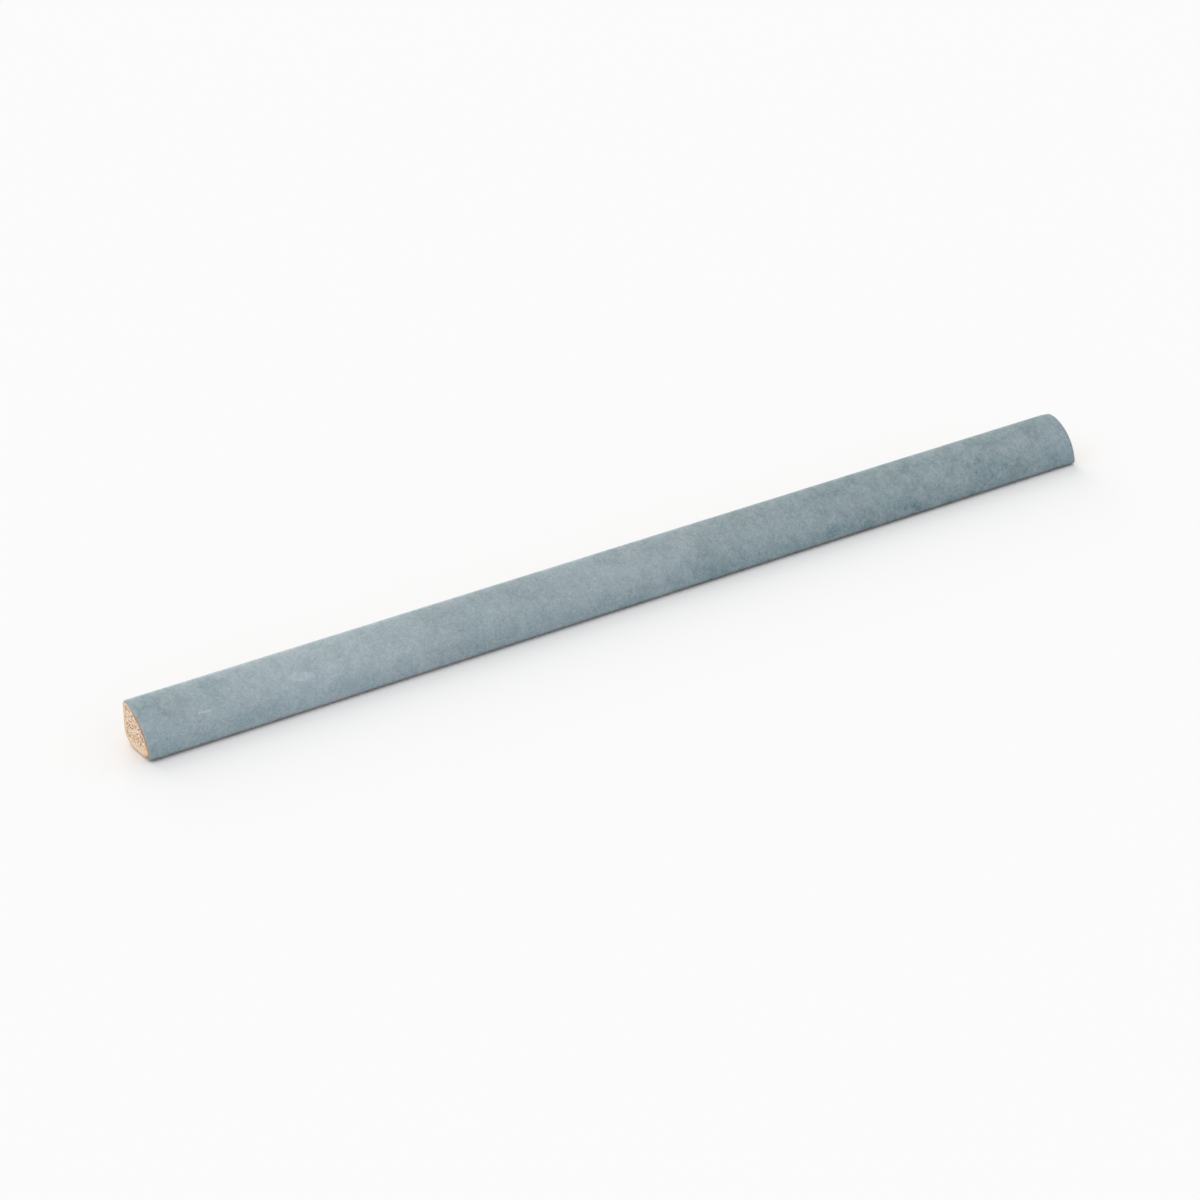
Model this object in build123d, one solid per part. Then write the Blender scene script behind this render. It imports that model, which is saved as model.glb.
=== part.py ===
from build123d import *
import os
from math import sqrt

# Jolly trim tile: one pressed and fired ceramic bar that finishes a tiled edge.
# X runs along the bar, the glazed crowned face looks towards -Y and the flat
# bonding back towards +Y. The bar lies on its flat underside, at Z = 0.

# Driving dimensions, in millimetres
length = 300.0  # end to end
depth = 13.4  # back to the front of the toe
height = 12.2  # underside to the top of the nose
face_radius = 13.3  # crown of the glazed face
nose_radius = 1.8  # round from the back into the face
toe_radius = 1.2  # round from the face into the underside
corner_run = 3.3  # inner corner cut back along the underside
corner_rise = 2.8  # inner corner cut back up the back
shoulder_radius = 3.0  # softened shoulders of that cut
end_arris = 0.5  # eased edge all round each end

# The section is drawn as seen from the +X end: first the place from front to
# back, then the height. The bar is centred between its front and its back.
front = -depth / 2
back = depth / 2
nose_centre = Vector(back - nose_radius, height - nose_radius)
toe_centre = Vector(front + toe_radius, toe_radius)


def crown_centre():
    # The face touches the nose and toe rounds from outside, so its centre lies
    # the difference of the radii away from each of theirs, behind the face.
    to_nose = face_radius - nose_radius
    to_toe = face_radius - toe_radius
    span = toe_centre - nose_centre
    along = (to_nose**2 - to_toe**2 + span.length**2) / (2 * span.length)
    aside = sqrt(to_nose**2 - along**2)
    across = Vector(-span.Y, span.X).normalized()
    return nose_centre + span.normalized() * along + across * aside


def tile_section():
    centre = crown_centre()
    nose_end = centre + (nose_centre - centre).normalized() * face_radius
    toe_start = centre + (toe_centre - centre).normalized() * face_radius
    back_line = Line((back, corner_rise), (back, nose_centre.Y))
    nose = TangentArc(back_line @ 1, nose_end, tangent=back_line % 1)
    face = TangentArc(nose @ 1, toe_start, tangent=nose % 1)
    toe = TangentArc(face @ 1, (toe_centre.X, 0), tangent=face % 1)
    underside = Line(toe @ 1, (back - corner_run, 0))
    corner_cut = Line(underside @ 1, back_line @ 0)
    outline = make_face([back_line, nose, face, toe, underside, corner_cut])
    shoulders = outline.vertices().sort_by_distance((back, 0, 0))[:2]
    return fillet(shoulders, shoulder_radius)


def jolly_trim_tile():
    bar = extrude(Plane.YZ * tile_section(), length / 2, both=True)
    ends = bar.faces().filter_by(Axis.X)
    return fillet(ends.edges(), end_arris)


os.makedirs("parts", exist_ok=True)
tile = jolly_trim_tile()
export_step(tile, "parts/jolly_trim_tile.step")
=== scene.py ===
import math

import bpy
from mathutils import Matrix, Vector


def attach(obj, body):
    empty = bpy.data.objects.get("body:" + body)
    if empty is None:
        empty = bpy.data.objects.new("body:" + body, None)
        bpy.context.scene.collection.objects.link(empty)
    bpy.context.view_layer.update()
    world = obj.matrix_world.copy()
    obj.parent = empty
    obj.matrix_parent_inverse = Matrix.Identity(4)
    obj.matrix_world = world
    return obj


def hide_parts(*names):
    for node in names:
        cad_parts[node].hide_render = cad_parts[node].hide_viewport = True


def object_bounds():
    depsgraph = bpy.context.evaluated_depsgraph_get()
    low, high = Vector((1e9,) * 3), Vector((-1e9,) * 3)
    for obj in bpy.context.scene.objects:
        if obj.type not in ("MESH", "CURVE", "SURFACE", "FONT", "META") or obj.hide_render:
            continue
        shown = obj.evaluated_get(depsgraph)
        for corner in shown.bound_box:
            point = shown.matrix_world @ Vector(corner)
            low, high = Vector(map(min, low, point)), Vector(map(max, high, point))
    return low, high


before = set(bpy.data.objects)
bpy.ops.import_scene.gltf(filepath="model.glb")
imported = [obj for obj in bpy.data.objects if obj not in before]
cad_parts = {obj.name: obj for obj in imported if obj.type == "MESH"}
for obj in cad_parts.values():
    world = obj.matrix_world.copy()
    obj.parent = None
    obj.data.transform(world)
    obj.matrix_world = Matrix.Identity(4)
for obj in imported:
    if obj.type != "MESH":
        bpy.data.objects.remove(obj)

cadLow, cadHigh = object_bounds()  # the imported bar's own box
tileNode = "jolly_trim_tile"
perMetre = 1000.0  # millimetres, the unit of every pattern
print("frame loaded", [round(side * perMetre, 2) for side in cadHigh - cadLow])


# small helpers that both kinds of node tree share

def put(tree, kind, **settings):
    node = tree.nodes.new(kind)
    for name, value in settings.items():
        setattr(node, name, value)
    return node


def plug(tree, value, socket):
    if isinstance(value, bpy.types.NodeSocket):
        tree.links.new(value, socket)
    else:
        socket.default_value = value


def calc(tree, operation, *values):
    node = put(tree, "ShaderNodeMath", operation=operation)
    for value, socket in zip(values, node.inputs):
        plug(tree, value, socket)
    return node.outputs[0]


def total(tree, first, *others):
    for other in others:
        first = calc(tree, "ADD", first, other)
    return first


def product(tree, first, *others):
    for other in others:
        first = calc(tree, "MULTIPLY", first, other)
    return first


def vectorCalc(tree, operation, *values):
    node = put(tree, "ShaderNodeVectorMath", operation=operation)
    for value, socket in zip(values, node.inputs):
        plug(tree, value, socket)
    return node.outputs["Value" if operation == "LENGTH" else "Vector"]


def scaled(tree, vector, amount):
    node = put(tree, "ShaderNodeVectorMath", operation="SCALE")
    plug(tree, vector, node.inputs["Vector"])
    plug(tree, amount, node.inputs["Scale"])
    return node.outputs["Vector"]


def split(tree, vector):
    node = put(tree, "ShaderNodeSeparateXYZ")
    plug(tree, vector, node.inputs[0])
    return node.outputs


def joined(tree, *parts):
    node = put(tree, "ShaderNodeCombineXYZ")
    for part, socket in zip(parts, node.inputs):
        plug(tree, part, socket)
    return node.outputs[0]


def ramp(tree, value, low, high, toLow=0.0, toHigh=1.0, soft=True):
    node = put(tree, "ShaderNodeMapRange", interpolation_type="SMOOTHSTEP" if soft else "LINEAR")
    for entry, socket in zip((value, low, high, toLow, toHigh), node.inputs):
        plug(tree, entry, socket)
    return node.outputs["Result"]


def cloud(tree, vector, grain, seed, detail=2.0, roughness=0.5, bend=0.0):
    # noise from 0 to 1 whose lumps are about one grain across, in the vector's own units
    node = put(tree, "ShaderNodeTexNoise", noise_dimensions="4D")
    plug(tree, vector, node.inputs["Vector"])
    settings = {"W": seed, "Scale": 1 / grain, "Detail": detail, "Roughness": roughness, "Distortion": bend}
    for name, value in settings.items():
        node.inputs[name].default_value = value
    return node.outputs[0]


def swing(tree, noise, amount):
    # noise from 0 to 1, swung about zero by up to this amount each way
    return calc(tree, "MULTIPLY", calc(tree, "SUBTRACT", noise, 0.5), amount * 2)


def granules(tree, vector, grain, breaks=2.0):
    # packed broken grains, each about one grain across: how far from its middle, and a tone of its own
    noise = put(tree, "ShaderNodeTexNoise")
    plug(tree, vector, noise.inputs["Vector"])
    noise.inputs["Scale"].default_value = breaks / grain  # how often each grain's edge bends
    bent = vectorCalc(tree, "SUBTRACT", noise.outputs["Color"], (0.5, 0.5, 0.5))
    node = put(tree, "ShaderNodeTexVoronoi", voronoi_dimensions="3D", feature="F1")
    plug(tree, vectorCalc(tree, "ADD", vector, scaled(tree, bent, grain)), node.inputs["Vector"])
    node.inputs["Scale"].default_value = 1 / grain
    return node.outputs["Distance"], split(tree, node.outputs["Color"])["X"]


def blendColour(tree, share, first, second, bound=True):
    node = put(tree, "ShaderNodeMix", data_type="RGBA", clamp_factor=bound)
    plug(tree, share, node.inputs["Factor"])
    sides = [socket for socket in node.inputs if socket.type == "RGBA"]
    plug(tree, first, sides[0])
    plug(tree, second, sides[1])
    return [socket for socket in node.outputs if socket.type == "RGBA"][0]


def srgb(red, green, blue):
    # an eight-bit colour as linear light, by the sRGB curve
    parts = [level / 255 for level in (red, green, blue)]
    return [p / 12.92 if p <= 0.04045 else ((p + 0.055) / 1.055) ** 2.4 for p in parts] + [1.0]


# the section, in metres: a point's place from front to back, then its height

tileForm = {
    "crownRadius": 0.0133,
    "noseRadius": 0.0018,
    "toeRadius": 0.0012,
    "cornerRun": 0.0033,
    "cornerRise": 0.0028,
    "shoulderRadius": 0.0030,
    "endArris": 0.0005,
    "stepsPerArc": 40,
}


def arcBetween(centre, start, end):
    steps = tileForm["stepsPerArc"]
    first, last = start - centre, end - centre
    begin = math.atan2(first.y, first.x)
    turn = (math.atan2(last.y, last.x) - begin + math.pi) % math.tau - math.pi
    angles = [begin + turn * step / steps for step in range(steps + 1)]
    return [centre + Vector((math.cos(angle), math.sin(angle))) * first.length for angle in angles]


def roundedCorner(before, corner, after, radius):
    toBefore = (before - corner).normalized()
    toAfter = (after - corner).normalized()
    half = toBefore.angle(toAfter) / 2
    reach = radius / math.tan(half)
    centre = corner + (toBefore + toAfter).normalized() * radius / math.sin(half)
    return arcBetween(centre, corner + toBefore * reach, corner + toAfter * reach)


def lengthOf(points):
    return sum((end - start).length for start, end in zip(points, points[1:]))


def drawSection(low, high):
    front, back, top = low.y, high.y, high.z
    crown, nose, toe = (tileForm[name] for name in ("crownRadius", "noseRadius", "toeRadius"))
    noseCentre = Vector((back - nose, top - nose))
    toeCentre = Vector((front + toe, toe))
    span = toeCentre - noseCentre  # the crown touches both rounds from outside
    along = ((crown - nose) ** 2 - (crown - toe) ** 2 + span.length ** 2) / (2 * span.length)
    aside = math.sqrt((crown - nose) ** 2 - along ** 2)
    across = Vector((-span.y, span.x)).normalized()
    crownCentre = noseCentre + span.normalized() * along + across * aside
    toeTop = crownCentre + (toeCentre - crownCentre).normalized() * crown
    noseFoot = crownCentre + (noseCentre - crownCentre).normalized() * crown
    riseEnd = Vector((back, tileForm["cornerRise"]))
    runEnd = Vector((back - tileForm["cornerRun"], 0))
    backTop = Vector((back, noseCentre.y))
    toeFoot = Vector((toeCentre.x, 0))
    plain = [(backTop + riseEnd) / 2]
    plain += roundedCorner(backTop, riseEnd, runEnd, tileForm["shoulderRadius"])
    plain += roundedCorner(riseEnd, runEnd, toeFoot, tileForm["shoulderRadius"])
    glazed = arcBetween(toeCentre, toeFoot, toeTop)
    glazed += arcBetween(crownCentre, toeTop, noseFoot)[1:]
    glazed += arcBetween(noseCentre, noseFoot, backTop)[1:]
    return plain, glazed


plainLine, glazedLine = drawSection(cadLow, cadHigh)
outline = plainLine + glazedLine
glazeFrom = lengthOf(plainLine + glazedLine[:1])
glazeTo = glazeFrom + lengthOf(glazedLine)
print("section drawn", len(outline), "points, face", round((glazeTo - glazeFrom) * perMetre, 2), "mm round")


# the bar: a grid bent round the section, closed over both ends, then given its relief

tileMesh = {
    "Points Around": 220,
    "Rings on End": 40,
    "Rings on Arris": 5,
    "Rings Along": 130,  # from each end to the middle
    "Weld Distance": 0.000001,  # metres, as are the sizes below
    "Glaze Over Back": 0.0007,
    "Glaze Short of Foot": 0.0001,
    "Glaze Thickness": 0.00008,
    "Ripple Height": 0.00004,
    "Granule Height": 0.00009,
    "Pit Depth": 0.00013,
    "Toe Easing": 0.00030,
    "Corner Easing": 0.00012,
    "Nose Easing": 0.00030,
}

tileRelief = {
    "bare": (0.05, -0.25),  # millimetres inside the glaze, from covered to bare
    "slowRipple": (38.0, 1.0, 1.0),  # size in millimetres, seed and detail
    "slowShare": 1.0,
    "quickRipple": (7.0, 2.0),
    "quickShare": 0.35,
    "pressedGrain": 0.15,  # the share of the grain that is left on pressed clay
    "stepRun": 0.25,  # millimetres over which an end drops below the glaze
}

# the fire drew the toe's foot in a little, and more at the near corner:
# the way that it moved, then from where to where that grows, in millimetres
toeEase = {
    "way": (0.0, 0.45, 0.89),
    "corner": (-147.2, -149.8),  # along the bar
    "farEnd": (149.8, 144.0, 0.3, 1.0),  # with its share at both places
    "down": (19.0, 20.8),  # down the face
    "under": (25.5, 22.0),  # and on, under the foot
}
noseEase = {  # and the nose, at the far end
    "way": (0.0, 0.0, -1.0),
    "corner": (146.5, 149.8),
    "down": (6.0, 1.5),
    "back": (-5.0, -1.5),
}
endEase = (3.0, 0.0)  # on an end, both fade out this many millimetres in from its edge

bodyGrain = {
    "granule": 0.60,  # millimetres, as are the other lengths here
    "drawnOut": (1.0, 0.67, 1.0),  # the press draws the grain out from front to back
    "pitCell": 0.46,  # room that each pit has
    "pitEdge": 0.52,  # in shares of that room
    "pitCore": 0.28,
    "pitShare": 0.94,
    "pitShift": (3.3, 1.7, 5.1),  # so that pits and granules don't line up
    "rimFrom": 0.3,  # the pressed rim round each end stays smooth this far in
    "rimTo": 1.0,
    "footFrom": 1.2,  # and the lower part of the end up to this height
    "footTo": 3.2,
    "edge": (1.4, 31.0),  # size and seed of the wander in that rim's edge
    "edgeBy": 0.8,
}


def openGrain(tree, place, rim):
    # 1 where an end shows the open grain of the body, 0 on its pressed rim and elsewhere
    wander = swing(tree, cloud(tree, place, *bodyGrain["edge"]), bodyGrain["edgeBy"])
    inside = ramp(tree, calc(tree, "ADD", rim, wander), bodyGrain["rimFrom"], bodyGrain["rimTo"])
    rise = calc(tree, "ADD", split(tree, place)["Z"], wander)
    return calc(tree, "MULTIPLY", inside, ramp(tree, rise, bodyGrain["footFrom"], bodyGrain["footTo"]))


def bodyGranules(tree, place):
    return granules(tree, vectorCalc(tree, "MULTIPLY", place, bodyGrain["drawnOut"]), bodyGrain["granule"])


def pits(tree, place):
    drawn = vectorCalc(tree, "MULTIPLY", place, bodyGrain["drawnOut"])
    far, tone = granules(tree, vectorCalc(tree, "ADD", drawn, bodyGrain["pitShift"]), bodyGrain["pitCell"])
    kept = calc(tree, "LESS_THAN", tone, bodyGrain["pitShare"])
    return calc(tree, "MULTIPLY", ramp(tree, far, bodyGrain["pitEdge"], bodyGrain["pitCore"]), kept)


def keepField(tree, mesh, name, value):
    node = put(tree, "GeometryNodeStoreNamedAttribute", data_type="FLOAT", domain="POINT")
    plug(tree, mesh, node.inputs["Geometry"])
    node.inputs["Name"].default_value = name
    plug(tree, value, node.inputs["Value"])
    return node.outputs[0]


def readField(tree, name):
    node = put(tree, "GeometryNodeInputNamedAttribute", data_type="FLOAT")
    node.inputs["Name"].default_value = name
    return node.outputs["Attribute"]


def sweepInputs(tree):
    sockets = tree.interface
    sockets.new_socket("Geometry", in_out="INPUT", socket_type="NodeSocketGeometry")
    for name, value in tileMesh.items():
        kind = "NodeSocketInt" if isinstance(value, int) else "NodeSocketFloat"
        sockets.new_socket(name, in_out="INPUT", socket_type=kind)
    for name in ("Bar Length", "End Arris", "Glaze From", "Glaze To"):
        sockets.new_socket(name, in_out="INPUT", socket_type="NodeSocketFloat")
    sockets.new_socket("Section Centre", in_out="INPUT", socket_type="NodeSocketVector")
    sockets.new_socket("Finish", in_out="INPUT", socket_type="NodeSocketMaterial")
    sockets.new_socket("Geometry", in_out="OUTPUT", socket_type="NodeSocketGeometry")
    return put(tree, "NodeGroupInput").outputs


def bentGrid(tree, given):
    # one ring number for both ends: the pole, then the end, the arris and half the length
    onEnd = given["Rings on End"]
    arrisEnd = calc(tree, "ADD", onEnd, given["Rings on Arris"])
    halfRings = calc(tree, "ADD", arrisEnd, given["Rings Along"])
    allRings = calc(tree, "MULTIPLY", halfRings, 2.0)
    grid = put(tree, "GeometryNodeMeshGrid")  # one unit each way, centred
    plug(tree, calc(tree, "ADD", allRings, 1.0), grid.inputs["Vertices X"])
    plug(tree, calc(tree, "ADD", given["Points Around"], 1.0), grid.inputs["Vertices Y"])
    spot = split(tree, put(tree, "GeometryNodeInputPosition").outputs[0])
    side = calc(tree, "SIGN", spot["X"])
    fromMiddle = calc(tree, "MULTIPLY", calc(tree, "ABSOLUTE", spot["X"]), allRings)
    ring = calc(tree, "ROUND", calc(tree, "SUBTRACT", halfRings, fromMiddle))
    turn = calc(tree, "ADD", spot["Y"], 0.5)
    grown = ramp(tree, ring, 0.0, onEnd, soft=False)
    angle = ramp(tree, ring, onEnd, arrisEnd, 0.0, math.pi / 2, soft=False)
    inward = ramp(tree, ring, arrisEnd, halfRings, soft=False)

    # where that ring lies along the bar, and how far inside the section
    arris = given["End Arris"]
    straight = calc(tree, "SUBTRACT", calc(tree, "MULTIPLY", given["Bar Length"], 0.5), arris)
    bodyX = calc(tree, "MULTIPLY", straight, calc(tree, "SUBTRACT", 1.0, inward))
    ringX = calc(tree, "ADD", bodyX, calc(tree, "MULTIPLY", arris, calc(tree, "COSINE", angle)))
    inset = calc(tree, "MULTIPLY", arris, calc(tree, "SUBTRACT", 1.0, calc(tree, "SINE", angle)))
    section = put(tree, "GeometryNodeSampleCurve", mode="FACTOR")
    plug(tree, given["Geometry"], section.inputs["Curves"])
    plug(tree, turn, section.inputs["Factor"])
    outward = vectorCalc(tree, "CROSS_PRODUCT", (1.0, 0.0, 0.0), section.outputs["Tangent"])
    edge = vectorCalc(tree, "SUBTRACT", section.outputs["Position"], scaled(tree, outward, inset))
    fromCentre = vectorCalc(tree, "SUBTRACT", edge, given["Section Centre"])
    ringPoint = vectorCalc(tree, "ADD", given["Section Centre"], scaled(tree, fromCentre, grown))
    shape = vectorCalc(tree, "ADD", ringPoint, joined(tree, calc(tree, "MULTIPLY", side, ringX), 0.0, 0.0))

    # in millimetres: how far inside the glaze, how far down the face, how far in from an end's edge
    perimeter = put(tree, "GeometryNodeCurveLength")
    plug(tree, given["Geometry"], perimeter.inputs[0])
    arc = calc(tree, "MULTIPLY", turn, perimeter.outputs[0])
    glazeLow = calc(tree, "ADD", given["Glaze From"], given["Glaze Short of Foot"])
    glazeHigh = calc(tree, "ADD", given["Glaze To"], given["Glaze Over Back"])
    fromFoot = calc(tree, "SUBTRACT", arc, glazeLow)
    acrossReach = calc(tree, "MINIMUM", fromFoot, calc(tree, "SUBTRACT", glazeHigh, arc))
    shrunk = calc(tree, "SUBTRACT", 1.0, grown)
    fromEdge = calc(tree, "MULTIPLY", shrunk, vectorCalc(tree, "LENGTH", fromCentre))
    overArris = calc(tree, "MULTIPLY", angle, arris)
    alongReach = total(tree, overArris, calc(tree, "MULTIPLY", inward, straight))
    alongReach = calc(tree, "SUBTRACT", alongReach, fromEdge)
    fields = {
        "glazeReach": calc(tree, "MINIMUM", acrossReach, alongReach),
        "faceArc": calc(tree, "SUBTRACT", given["Glaze To"], arc),
        "rimDepth": fromEdge,
    }
    mesh = grid.outputs["Mesh"]
    for name, value in fields.items():
        mesh = keepField(tree, mesh, name, calc(tree, "MULTIPLY", value, perMetre))
    bent = put(tree, "GeometryNodeSetPosition")
    plug(tree, mesh, bent.inputs["Geometry"])
    plug(tree, shape, bent.inputs["Position"])
    closed = put(tree, "GeometryNodeMergeByDistance")
    plug(tree, bent.outputs[0], closed.inputs["Geometry"])
    plug(tree, given["Weld Distance"], closed.inputs["Distance"])
    return closed.outputs[0]


def glazeLift(tree, given, place, bare):
    # slow and quick ripples in the glaze
    slow = swing(tree, cloud(tree, place, *tileRelief["slowRipple"]), tileRelief["slowShare"])
    quick = swing(tree, cloud(tree, place, *tileRelief["quickRipple"]), tileRelief["quickShare"])
    covered = calc(tree, "SUBTRACT", 1.0, bare)
    return product(tree, calc(tree, "ADD", slow, quick), given["Ripple Height"], covered)


def bareDrop(tree, given, place, rim, bare):
    # grain and pits in the body, which lies below the glaze
    opened = openGrain(tree, place, rim)
    coarse = ramp(tree, opened, 0.0, 1.0, tileRelief["pressedGrain"], 1.0, soft=False)
    grain = product(tree, bodyGranules(tree, place)[0], given["Granule Height"], coarse)
    pit = product(tree, pits(tree, place), given["Pit Depth"], coarse)
    step = product(tree, ramp(tree, rim, 0.0, tileRelief["stepRun"]), given["Glaze Thickness"])
    return product(tree, total(tree, grain, pit, step), bare)


def toeOffset(tree, given, along, down, inEnd):
    onToe = product(tree, ramp(tree, down, *toeEase["down"]), ramp(tree, down, *toeEase["under"]))
    corner = product(tree, ramp(tree, along, *toeEase["corner"]), given["Corner Easing"])
    foot = product(tree, ramp(tree, along, *toeEase["farEnd"]), given["Toe Easing"])
    return scaled(tree, toeEase["way"], product(tree, total(tree, corner, foot), onToe, inEnd))


def noseOffset(tree, given, along, down, inEnd):
    onNose = product(tree, ramp(tree, down, *noseEase["down"]), ramp(tree, down, *noseEase["back"]))
    corner = product(tree, ramp(tree, along, *noseEase["corner"]), given["Nose Easing"])
    return scaled(tree, noseEase["way"], product(tree, corner, onNose, inEnd))


def sweepTree():
    tree = bpy.data.node_groups.new("tileSweep", "GeometryNodeTree")
    given = sweepInputs(tree)
    bar = bentGrid(tree, given)

    # relief along the surface's own normal, then the easing of the toe and the nose
    place = scaled(tree, put(tree, "GeometryNodeInputPosition").outputs[0], perMetre)
    along = split(tree, place)["X"]
    down, rim = readField(tree, "faceArc"), readField(tree, "rimDepth")
    bare = ramp(tree, readField(tree, "glazeReach"), *tileRelief["bare"])
    lift = glazeLift(tree, given, place, bare)
    lift = calc(tree, "SUBTRACT", lift, bareDrop(tree, given, place, rim, bare))
    relief = scaled(tree, put(tree, "GeometryNodeInputNormal").outputs[0], lift)
    inEnd = ramp(tree, rim, *endEase)
    for offset in (toeOffset, noseOffset):
        relief = vectorCalc(tree, "ADD", relief, offset(tree, given, along, down, inEnd))
    worked = put(tree, "GeometryNodeSetPosition")
    plug(tree, bar, worked.inputs["Geometry"])
    plug(tree, relief, worked.inputs["Offset"])
    smooth = put(tree, "GeometryNodeSetShadeSmooth")
    plug(tree, worked.outputs[0], smooth.inputs["Geometry"])
    real = put(tree, "GeometryNodeRealizeInstances")
    plug(tree, smooth.outputs[0], real.inputs["Geometry"])
    finish = put(tree, "GeometryNodeSetMaterial")
    plug(tree, real.outputs[0], finish.inputs["Geometry"])
    plug(tree, given["Finish"], finish.inputs["Material"])
    plug(tree, finish.outputs[0], put(tree, "NodeGroupOutput").inputs["Geometry"])
    return tree


def sweepTile(finish):
    line = bpy.data.curves.new("sectionLine", "CURVE")
    line.dimensions = "3D"
    spline = line.splines.new("POLY")
    spline.points.add(len(outline) - 1)
    for point, spot in zip(spline.points, outline):
        point.co = (0, spot.x, spot.y, 1)
    spline.use_cyclic_u = True
    drawn = bpy.data.objects.new("sectionLine", line)
    bpy.context.scene.collection.objects.link(drawn)
    modifier = drawn.modifiers.new("tileSweep", "NODES")
    modifier.node_group = sweepTree()
    middle = sum(outline, Vector((0, 0))) / len(outline)
    values = dict(tileMesh)
    values["Bar Length"] = cadHigh.x - cadLow.x
    values["End Arris"] = tileForm["endArris"]
    values["Glaze From"] = glazeFrom
    values["Glaze To"] = glazeTo
    values["Section Centre"] = (0, middle.x, middle.y)
    values["Finish"] = finish
    for socket in modifier.node_group.interface.items_tree:
        if socket.in_out == "INPUT" and socket.name in values:
            modifier[socket.identifier] = values[socket.name]
    depsgraph = bpy.context.evaluated_depsgraph_get()
    swept = drawn.evaluated_get(depsgraph)
    mesh = bpy.data.meshes.new_from_object(swept, preserve_all_data_layers=True, depsgraph=depsgraph)
    drawn.modifiers.remove(modifier)
    bpy.data.objects.remove(drawn)
    mesh.name = "jollyTrimTile"
    tile = bpy.data.objects.new("jollyTrimTile", mesh)
    bpy.context.scene.collection.objects.link(tile)
    return tile


# finishes, with every length in millimetres

glazeLook = {
    "pale": (190, 203, 210),
    "deep": (113, 132, 138),
    "depth": 0.40,  # 0 is the pale glaze and 1 the deep one
    "deepest": 1.35,
    "lively": 0.86,  # the share of its mottle and speckle that shows
    "blueness": 0.89,  # the share of its colour that is left before it varies
    "roughness": 0.42,
}

# how much deeper the glaze's colour grows along the bar from its middle, and down the face from the top of
# the back, where the arris lines and every change down the face are painted light: from, to and change
glazeAlong = {
    # paler at the near arris: a painted highlight
    "leftArrisPaintedHighlight": (-149.4, -150.0, -0.10),
    "leftEnd": (-118.0, -147.0, 0.11),
    "leftFall": (-98.0, -45.0, 0.12),
    "rightFall": (-5.0, 70.0, 0.14),
    "rightEnd": (128.0, 146.0, -0.07),
    # darker at the far arris: a painted shade
    "rightArrisPaintedShade": (149.0, 149.8, 0.16),
}
# down the face, all painted light: a highlight on the nose, shade over the crown and low down, and a
# contact shadow at the foot
paintedLightDown = {
    "nose": (3.4, 1.8, -0.20),
    "crown": (11.0, 3.5, 0.14),
    "toe": (12.5, 20.0, 0.15),
    "foot": (19.8, 20.6, 0.26),
}

# how much stronger its blue grows, in the same way
tintAlong = {
    "leftEnd": (-134.0, -147.0, 0.10),
    "rightEnd": (132.0, 144.0, 0.14),
}
# greyer on the nose and bluer down the face, a painted sheen; greyer at the foot, a painted contact shadow
paintedTintDown = {
    "face": (2.5, 19.0, 0.28),
    "foot": (19.8, 20.4, -0.35),
}

# how its hue leans, in the same way: less is greener, more is bluer
hueAlong = {
    "rightHalf": (30.0, 75.0, -0.004),
    "rightEnd": (132.0, 144.0, 0.009),
}
hueDown = {
    "crown": (12.0, 4.0, -0.009),
    "toe": (13.0, 19.0, 0.004),
}

# how much more of its mottle and speckle shows, in the same way
livelyAlong = {
    "middle": (-30.0, 40.0, 0.09),
    "flurry": (75.0, 95.0, 0.20),
    "rightEnd": (120.0, 134.0, -0.18),
}

# lumps in the glaze: a cloud's size, seed, detail, roughness and bend, then its change of depth
glazeLumps = {
    "clouds": (34.0, 11.0, 2.0, 0.5, 0.0, 0.11),
    "wisps": (10.0, 17.0, 1.0, 0.5, 0.8, 0.13),
    "mottle": (4.0, 12.0, 2.0, 0.55, 0.7, 0.20),
    "speckle": (1.3, 13.0, 1.5, 0.5, 0.0, 0.22),
    "dust": (0.5, 14.0, 1.0, 0.5, 0.0, 0.33),
}

# firing marks: place along the bar and down the face, half sizes, tilt in degrees,
# solid share and change of depth
glazeMarks = {
    "paleSmudge": (-105.4, 11.6, 3.8, 1.15, 10.0, 0.8, -0.16),
    "paleEcho": (-97.2, 11.2, 3.4, 1.5, 8.0, 0.4, -0.10),
    "paleStreak": (-133.2, 12.7, 2.0, 0.4, 4.0, 0.8, -0.30),
    "darkFleck": (-142.0, 10.2, 2.2, 1.2, 0.0, 0.4, 0.12),
    "darkCorner": (-145.0, 5.8, 3.4, 3.8, 0.0, 0.4, 0.07),
    "highShade": (-128.0, 6.4, 4.0, 3.0, 0.0, 0.4, 0.05),
    "lowShade": (-120.0, 17.2, 8.0, 3.0, 0.0, 0.4, 0.06),
    "lowEcho": (-91.5, 17.6, 6.0, 3.4, 0.0, 0.4, 0.07),
    "darkPatch": (19.6, 15.0, 8.0, 6.0, 0.0, 0.4, 0.06),
    "darkBlotch": (61.0, 17.8, 5.0, 2.2, 0.0, 0.4, 0.13),
    "paleCloud": (92.0, 9.2, 5.0, 2.8, 0.0, 0.4, -0.05),
    # paler over the crown on the right: less of the crown's painted shade there
    "paleCrestEasingPaintedShade": (100.0, 3.6, 70.0, 3.0, 0.0, 0.4, -0.06),
    "darkFlurry": (110.0, 10.2, 5.5, 2.8, 20.0, 0.4, 0.06),
    "darkCluster": (121.0, 13.8, 8.0, 3.4, 10.0, 0.4, 0.07),
}

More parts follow.
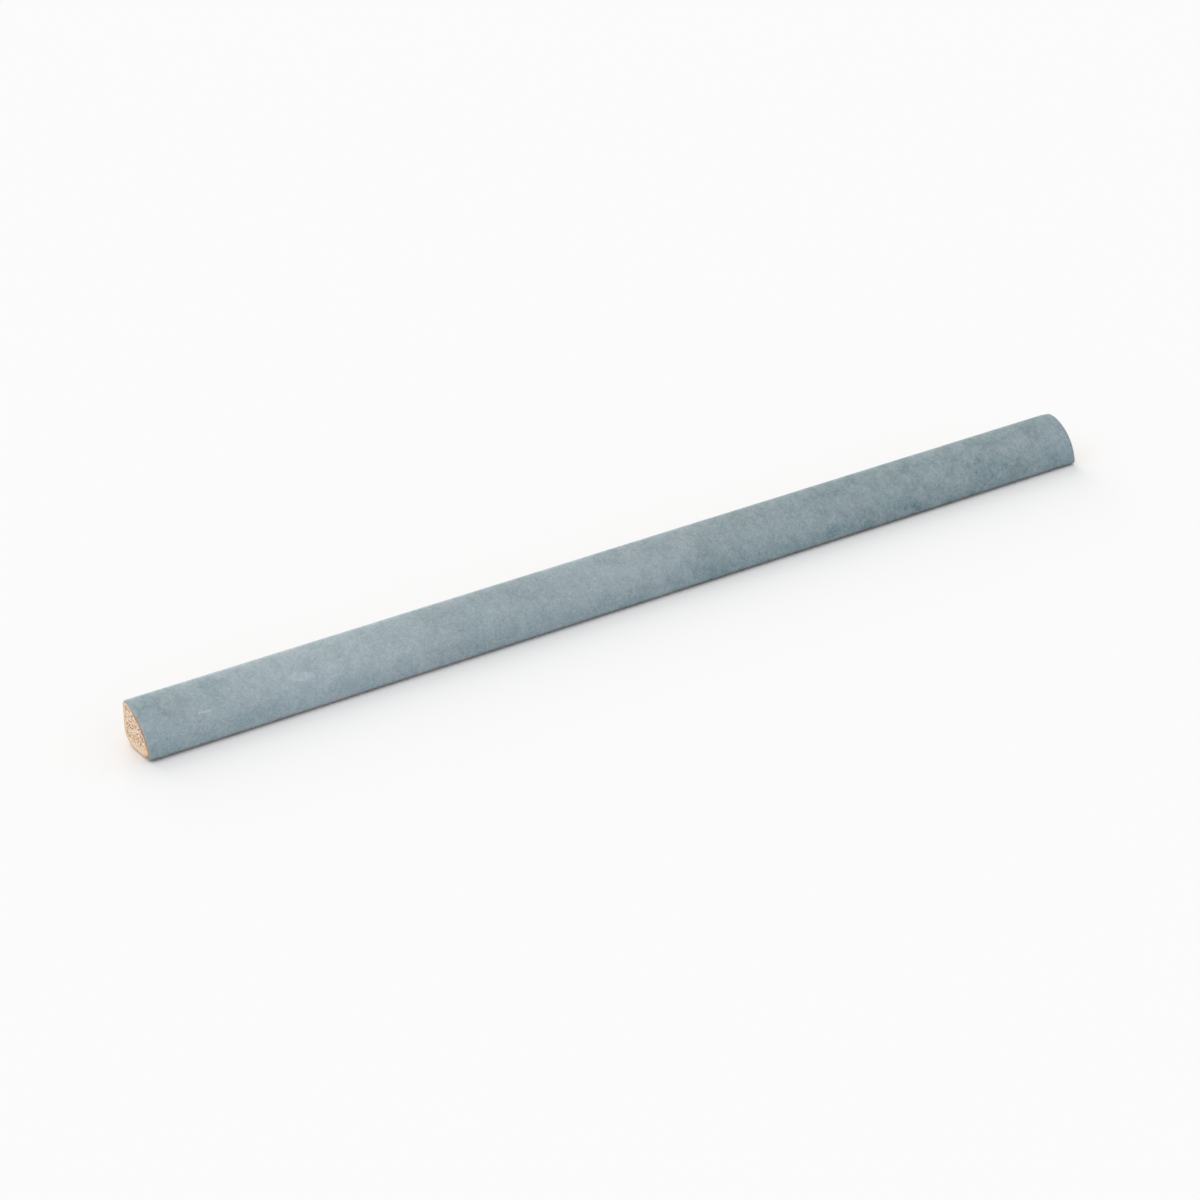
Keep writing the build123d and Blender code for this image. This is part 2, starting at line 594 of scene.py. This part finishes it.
# pools, ragged edges and the wander of the tint: each cloud's size, seed and so on, then what it does
glazeWander = {
    "pool": (11.0, 15.0, 4.0, 0.65, 0.6),
    "poolEdge": (0.50, 0.66, 0.0, 0.09),  # from none to a full pool, with the change of depth at each
    "poolAlong": (-60.0, 60.0, 0.3, 1.0),  # fewer towards the left
    "mark": (1.6, 16.0, 2.0),
    "markRagged": 0.9,
    "paleRagged": 0.4,  # the share of that on a pale mark
    "blue": (8.0, 18.0, 3.0, 0.6),
    "blueBy": 0.30,
    "hue": (5.0, 19.0, 2.0),
    "hueBy": 0.02,
}

bisqueLook = {
    "cream": (255, 245, 226),
    "tan": (248, 215, 184),
    "rim": (255, 227, 198),
    "skin": (222, 190, 160),  # the fired skin of the back and underside
    "deepSkin": (204, 170, 140),
    "pit": (152, 105, 76),
    "stain": (182, 130, 94),
    "spot": (182, 132, 104),
    "roughness": 0.9,
    "spotPlace": (-150.0, -2.7, 7.2),  # a burnt grain beside the glaze of the near end
    "spotSize": (1.5, 0.9, 1.3),
}

# how those colours mix, by a fine flour and a slow blush: size, seed and detail
bisqueMix = {
    "flour": (0.35, 23.0, 1.0),
    "blush": (9.0, 24.0, 2.0),
    "joint": (0.2, 0.7, 0.0, 0.5),  # from a granule's middle to its edge, and from cream towards tan
    "jointTone": 0.9,
    "jointFlour": 0.3,
    "shade": 0.4,
    "shadeFlour": 0.5,
    "shadeBlush": 0.9,
    "pressed": (0.0, 0.3),  # in from an end's edge, and from skin to rim
    "stain": (-1.6, -0.8, 0.0, 0.9),  # short of the glaze, with the brown line's share at both places
    "stainFlour": 0.3,
    "stainDown": (2.0, 9.0),  # down the face, so that the back has none
    "spotFlour": 0.6,
    "roughFlour": 0.1,
    "grainHeight": 0.5,
}

# where the glaze ends on the bisque, and the fine relief of both
tileEdge = {
    "wander": (1.6, 21.0),  # size and seed
    "wanderBy": 0.12,
    "cover": (-0.03, 0.05),  # from bare to covered
    "bumpStrength": 0.3,
    "bumpHeight": 0.0001,  # metres
}


def newGroup(name, *fields):
    # a finish that takes the place on the bar and some of its fields
    tree = bpy.data.node_groups.new(name, "ShaderNodeTree")
    tree.interface.new_socket("Place", in_out="INPUT", socket_type="NodeSocketVector")
    for field in fields:
        tree.interface.new_socket(field, in_out="INPUT", socket_type="NodeSocketFloat")
    tree.interface.new_socket("Color", in_out="OUTPUT", socket_type="NodeSocketColor")
    for level in ("Roughness", "Height"):
        tree.interface.new_socket(level, in_out="OUTPUT", socket_type="NodeSocketFloat")
    return tree, put(tree, "NodeGroupInput").outputs, put(tree, "NodeGroupOutput").inputs


def drifts(tree, value, changes, soft=True):
    # one rise or fall for each entry
    return [ramp(tree, value, low, high, 0.0, change, soft) for low, high, change in changes.values()]


def spotMask(tree, vector, centre, size, tilt=0.0, ragged=0.0, solid=0.4, outer=1.1):
    # 1 in the solid share of a soft oval, 0 past its outer share
    node = put(tree, "ShaderNodeMapping", vector_type="TEXTURE")
    plug(tree, vector, node.inputs["Vector"])
    node.inputs["Location"].default_value = centre
    node.inputs["Rotation"].default_value = (0, 0, math.radians(tilt))
    node.inputs["Scale"].default_value = size
    fromMiddle = calc(tree, "ADD", vectorCalc(tree, "LENGTH", node.outputs[0]), ragged)
    return ramp(tree, fromMiddle, outer, solid)


def firingMarks(tree, place, along, arc):
    flat = joined(tree, along, arc, 0.0)
    ragged = swing(tree, cloud(tree, place, *glazeWander["mark"]), glazeWander["markRagged"])
    calmer = calc(tree, "MULTIPLY", ragged, glazeWander["paleRagged"])
    marks = {}
    for name, (x, y, halfLong, halfWide, tilt, solid, change) in glazeMarks.items():
        edge = ragged if change > 0 else calmer
        oval = spotMask(tree, flat, (x, y, 0), (halfLong, halfWide, 1), tilt, edge, solid)
        marks[name] = calc(tree, "MULTIPLY", oval, change)
    return marks


def glazeGroup():
    tree, given, gives = newGroup("glazeFinish", "Face Arc")
    place, arc = given["Place"], given["Face Arc"]
    along = split(tree, place)["X"]
    lively = total(tree, glazeLook["lively"], *drifts(tree, along, livelyAlong))
    lumps = {}
    for name, (*how, change) in glazeLumps.items():
        lumps[name] = swing(tree, cloud(tree, place, *how), change)
    for name in ("mottle", "speckle"):
        lumps[name] = calc(tree, "MULTIPLY", lumps[name], lively)
    pooled = ramp(tree, cloud(tree, place, *glazeWander["pool"]), *glazeWander["poolEdge"])
    pools = product(tree, pooled, ramp(tree, along, *glazeWander["poolAlong"]))
    marks = firingMarks(tree, place, along, arc)
    # drifts along the bar, with the painted light down the face
    fallsAndPaintedLight = drifts(tree, along, glazeAlong) + drifts(tree, arc, paintedLightDown)
    depth = total(tree, glazeLook["depth"], pools, *fallsAndPaintedLight, *lumps.values(), *marks.values())
    depth = calc(tree, "MINIMUM", depth, glazeLook["deepest"])
    colour = blendColour(tree, depth, srgb(*glazeLook["pale"]), srgb(*glazeLook["deep"]), bound=False)

    # the nose is greyer and the face bluer low down, painting how the pale sheen fades down the face; the
    # glaze in the pools and at the ends is bluer
    wander = swing(tree, cloud(tree, place, *glazeWander["blue"]), glazeWander["blueBy"])
    tintsAndPaintedSheen = drifts(tree, along, tintAlong) + drifts(tree, arc, paintedTintDown, soft=False)
    darkMarks = [mark for name, mark in marks.items() if glazeMarks[name][-1] > 0]
    leans = drifts(tree, along, hueAlong) + drifts(tree, arc, hueDown)
    leans.append(swing(tree, cloud(tree, place, *glazeWander["hue"]), glazeWander["hueBy"]))
    tint = put(tree, "ShaderNodeHueSaturation")
    plainHue = tint.inputs["Hue"].default_value  # the node's middle, which changes nothing
    plug(tree, total(tree, plainHue, *leans), tint.inputs["Hue"])
    blueness = total(tree, glazeLook["blueness"], wander, *tintsAndPaintedSheen, pools, *darkMarks)
    plug(tree, blueness, tint.inputs["Saturation"])
    plug(tree, colour, tint.inputs["Color"])
    plug(tree, tint.outputs[0], gives["Color"])
    plug(tree, calc(tree, "ADD", glazeLook["roughness"], lumps["mottle"]), gives["Roughness"])
    plug(tree, total(tree, lumps["speckle"], lumps["mottle"]), gives["Height"])
    return tree


def bisqueGroup():
    tree, given, gives = newGroup("bisqueFinish", "Glaze Reach", "Face Arc", "Rim Depth")
    place, rimDepth = given["Place"], given["Rim Depth"]
    flour = cloud(tree, place, *bisqueMix["flour"])
    blush = cloud(tree, place, *bisqueMix["blush"])

    # the open grain of the ends, then their pressed rims and the skin of the back and underside
    grain, tone = bodyGranules(tree, place)
    joint = total(tree, ramp(tree, grain, *bisqueMix["joint"]), product(tree, tone, bisqueMix["jointTone"]))
    joint = total(tree, joint, swing(tree, flour, bisqueMix["jointFlour"]))
    openColour = blendColour(tree, joint, srgb(*bisqueLook["cream"]), srgb(*bisqueLook["tan"]))
    openColour = blendColour(tree, pits(tree, place), openColour, srgb(*bisqueLook["pit"]))
    shade = swing(tree, flour, bisqueMix["shadeFlour"])
    shade = total(tree, shade, swing(tree, blush, bisqueMix["shadeBlush"]), bisqueMix["shade"])
    rim = blendColour(tree, shade, srgb(*bisqueLook["rim"]), srgb(*bisqueLook["tan"]))
    skin = blendColour(tree, shade, srgb(*bisqueLook["skin"]), srgb(*bisqueLook["deepSkin"]))
    pressed = blendColour(tree, ramp(tree, rimDepth, *bisqueMix["pressed"]), skin, rim)
    colour = blendColour(tree, openGrain(tree, place, rimDepth), pressed, openColour)

    # what the fire left beside the glaze
    reach = calc(tree, "ADD", given["Glaze Reach"], swing(tree, flour, bisqueMix["stainFlour"]))
    beside = ramp(tree, reach, *bisqueMix["stain"])
    beside = calc(tree, "MULTIPLY", beside, ramp(tree, given["Face Arc"], *bisqueMix["stainDown"]))
    colour = blendColour(tree, beside, colour, srgb(*bisqueLook["stain"]))
    ragged = swing(tree, flour, bisqueMix["spotFlour"])
    burnt = spotMask(tree, place, bisqueLook["spotPlace"], bisqueLook["spotSize"], ragged=ragged)
    colour = blendColour(tree, burnt, colour, srgb(*bisqueLook["spot"]))
    plug(tree, colour, gives["Color"])
    roughness = calc(tree, "ADD", bisqueLook["roughness"], swing(tree, flour, bisqueMix["roughFlour"]))
    plug(tree, roughness, gives["Roughness"])
    dip = calc(tree, "MULTIPLY", grain, bisqueMix["grainHeight"])
    plug(tree, calc(tree, "SUBTRACT", flour, dip), gives["Height"])
    return tree


def tileFinish():
    material = bpy.data.materials.new("glazedBisque")
    material.use_nodes = True
    tree = material.node_tree
    tree.nodes.clear()
    shader = put(tree, "ShaderNodeBsdfPrincipled")
    plug(tree, shader.outputs[0], put(tree, "ShaderNodeOutputMaterial").inputs["Surface"])
    place = scaled(tree, put(tree, "ShaderNodeTexCoord").outputs["Object"], perMetre)
    reach, arc, rim = (
        put(tree, "ShaderNodeAttribute", attribute_name=name).outputs["Fac"]
        for name in ("glazeReach", "faceArc", "rimDepth")
    )
    glaze = put(tree, "ShaderNodeGroup", node_tree=glazeGroup())
    bisque = put(tree, "ShaderNodeGroup", node_tree=bisqueGroup())
    plug(tree, reach, bisque.inputs["Glaze Reach"])
    plug(tree, rim, bisque.inputs["Rim Depth"])
    for node in (glaze, bisque):
        plug(tree, place, node.inputs["Place"])
        plug(tree, arc, node.inputs["Face Arc"])
    wander = swing(tree, cloud(tree, place, *tileEdge["wander"]), tileEdge["wanderBy"])
    covered = ramp(tree, calc(tree, "ADD", reach, wander), *tileEdge["cover"])
    colour = blendColour(tree, covered, bisque.outputs["Color"], glaze.outputs["Color"])
    plug(tree, colour, shader.inputs["Base Color"])
    sides = (bisque.outputs["Roughness"], glaze.outputs["Roughness"])
    plug(tree, ramp(tree, covered, 0.0, 1.0, *sides, soft=False), shader.inputs["Roughness"])
    heights = (bisque.outputs["Height"], glaze.outputs["Height"])
    bump = put(tree, "ShaderNodeBump")
    bump.inputs["Strength"].default_value = tileEdge["bumpStrength"]
    bump.inputs["Distance"].default_value = tileEdge["bumpHeight"]
    plug(tree, ramp(tree, covered, 0.0, 1.0, *heights, soft=False), bump.inputs["Height"])
    plug(tree, bump.outputs["Normal"], shader.inputs["Normal"])
    return material


tile = sweepTile(tileFinish())
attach(tile, "root")
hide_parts(tileNode)
print("tile swept", len(tile.data.vertices), "points", len(tile.data.polygons), "faces")


# studio: a pale floor, an even sky and two wide soft lamps

studio = {
    "floorSize": 14.0,  # metres
    "floorColour": (251, 251, 251),
    "floorBounce": 0.75,  # the share that the floor throws back onto the bar
    "skyStrength": 0.80,
    "lamps": {  # where from, strength, and degrees of sky filled
        "backLamp": ((0.2, 1.0, 0.6), 0.9, 45.0),
        "sideLamp": ((-1.0, 0.0, 1.0), 0.26, 60.0),
    },
}


def seenDirectly(tree):
    rays = put(tree, "ShaderNodeLightPath").outputs
    seen = calc(tree, "MAXIMUM", rays["Is Camera Ray"], rays["Is Glossy Ray"])
    return calc(tree, "MAXIMUM", seen, rays["Is Transmission Ray"])


def floorFinish():
    material = bpy.data.materials.new("paleFloor")
    material.use_nodes = True
    tree = material.node_tree
    tree.nodes.clear()
    shader = put(tree, "ShaderNodeBsdfDiffuse")
    bounce = [studio["floorBounce"]] * 3 + [1.0]
    colour = blendColour(tree, seenDirectly(tree), bounce, srgb(*studio["floorColour"]))
    plug(tree, colour, shader.inputs["Color"])
    clear = put(tree, "ShaderNodeBsdfTransparent")
    mix = put(tree, "ShaderNodeMixShader")  # seen from below, the floor lets the underside show
    plug(tree, put(tree, "ShaderNodeNewGeometry").outputs["Backfacing"], mix.inputs[0])
    plug(tree, shader.outputs[0], mix.inputs[1])
    plug(tree, clear.outputs[0], mix.inputs[2])
    plug(tree, mix.outputs[0], put(tree, "ShaderNodeOutputMaterial").inputs["Surface"])
    return material


def layFloor():
    half = studio["floorSize"] / 2
    mesh = bpy.data.meshes.new("floor")
    corners = [(-half, -half, 0), (half, -half, 0), (half, half, 0), (-half, half, 0)]
    mesh.from_pydata(corners, [], [(0, 1, 2, 3)])
    floor = bpy.data.objects.new("floor", mesh)
    bpy.context.scene.collection.objects.link(floor)
    floor.location.z = cadLow.z
    mesh.materials.append(floorFinish())


def lightStudio():
    world = bpy.data.worlds.new("evenSky")
    bpy.context.scene.world = world
    world.use_nodes = True
    tree = world.node_tree
    tree.nodes.clear()
    sky = put(tree, "ShaderNodeBackground")
    sky.inputs["Color"].default_value = (1, 1, 1, 1)
    strength = ramp(tree, seenDirectly(tree), 0.0, 1.0, studio["skyStrength"], 1.0, soft=False)
    plug(tree, strength, sky.inputs["Strength"])
    plug(tree, sky.outputs[0], put(tree, "ShaderNodeOutputWorld").inputs["Surface"])
    for name, (way, strength, width) in studio["lamps"].items():
        lamp = bpy.data.lights.new(name, "SUN")
        lamp.energy = strength
        lamp.angle = math.radians(width)
        holder = bpy.data.objects.new(name, lamp)
        bpy.context.scene.collection.objects.link(holder)
        holder.rotation_euler = Vector(way).to_track_quat("Z", "Y").to_euler()


layFloor()
lightStudio()
print("studio lit")


# camera, from the fit of the bar's outline in the picture

shot = {
    "place": (-0.45442, -0.62340, 0.38890),  # metres
    "azimuth": -35.301,  # degrees
    "elevation": 26.899,
    "lens": 97.5,  # millimetres
    "sensor": 36.0,
    "clip": (0.01, 50.0),  # metres
}


def aimCamera():
    lens = bpy.data.cameras.new("shot")
    lens.lens = shot["lens"]
    lens.sensor_width = shot["sensor"]
    lens.clip_start, lens.clip_end = shot["clip"]
    camera = bpy.data.objects.new("shot", lens)
    bpy.context.scene.collection.objects.link(camera)
    turn, rise = math.radians(shot["azimuth"]), math.radians(shot["elevation"])
    back = Vector((math.sin(turn) * math.cos(rise), -math.cos(turn) * math.cos(rise), math.sin(rise)))
    camera.location = shot["place"]
    camera.rotation_euler = (-back).to_track_quat("-Z", "Y").to_euler()
    bpy.context.scene.camera = camera


aimCamera()
bpy.context.scene.view_settings.view_transform = "Standard"
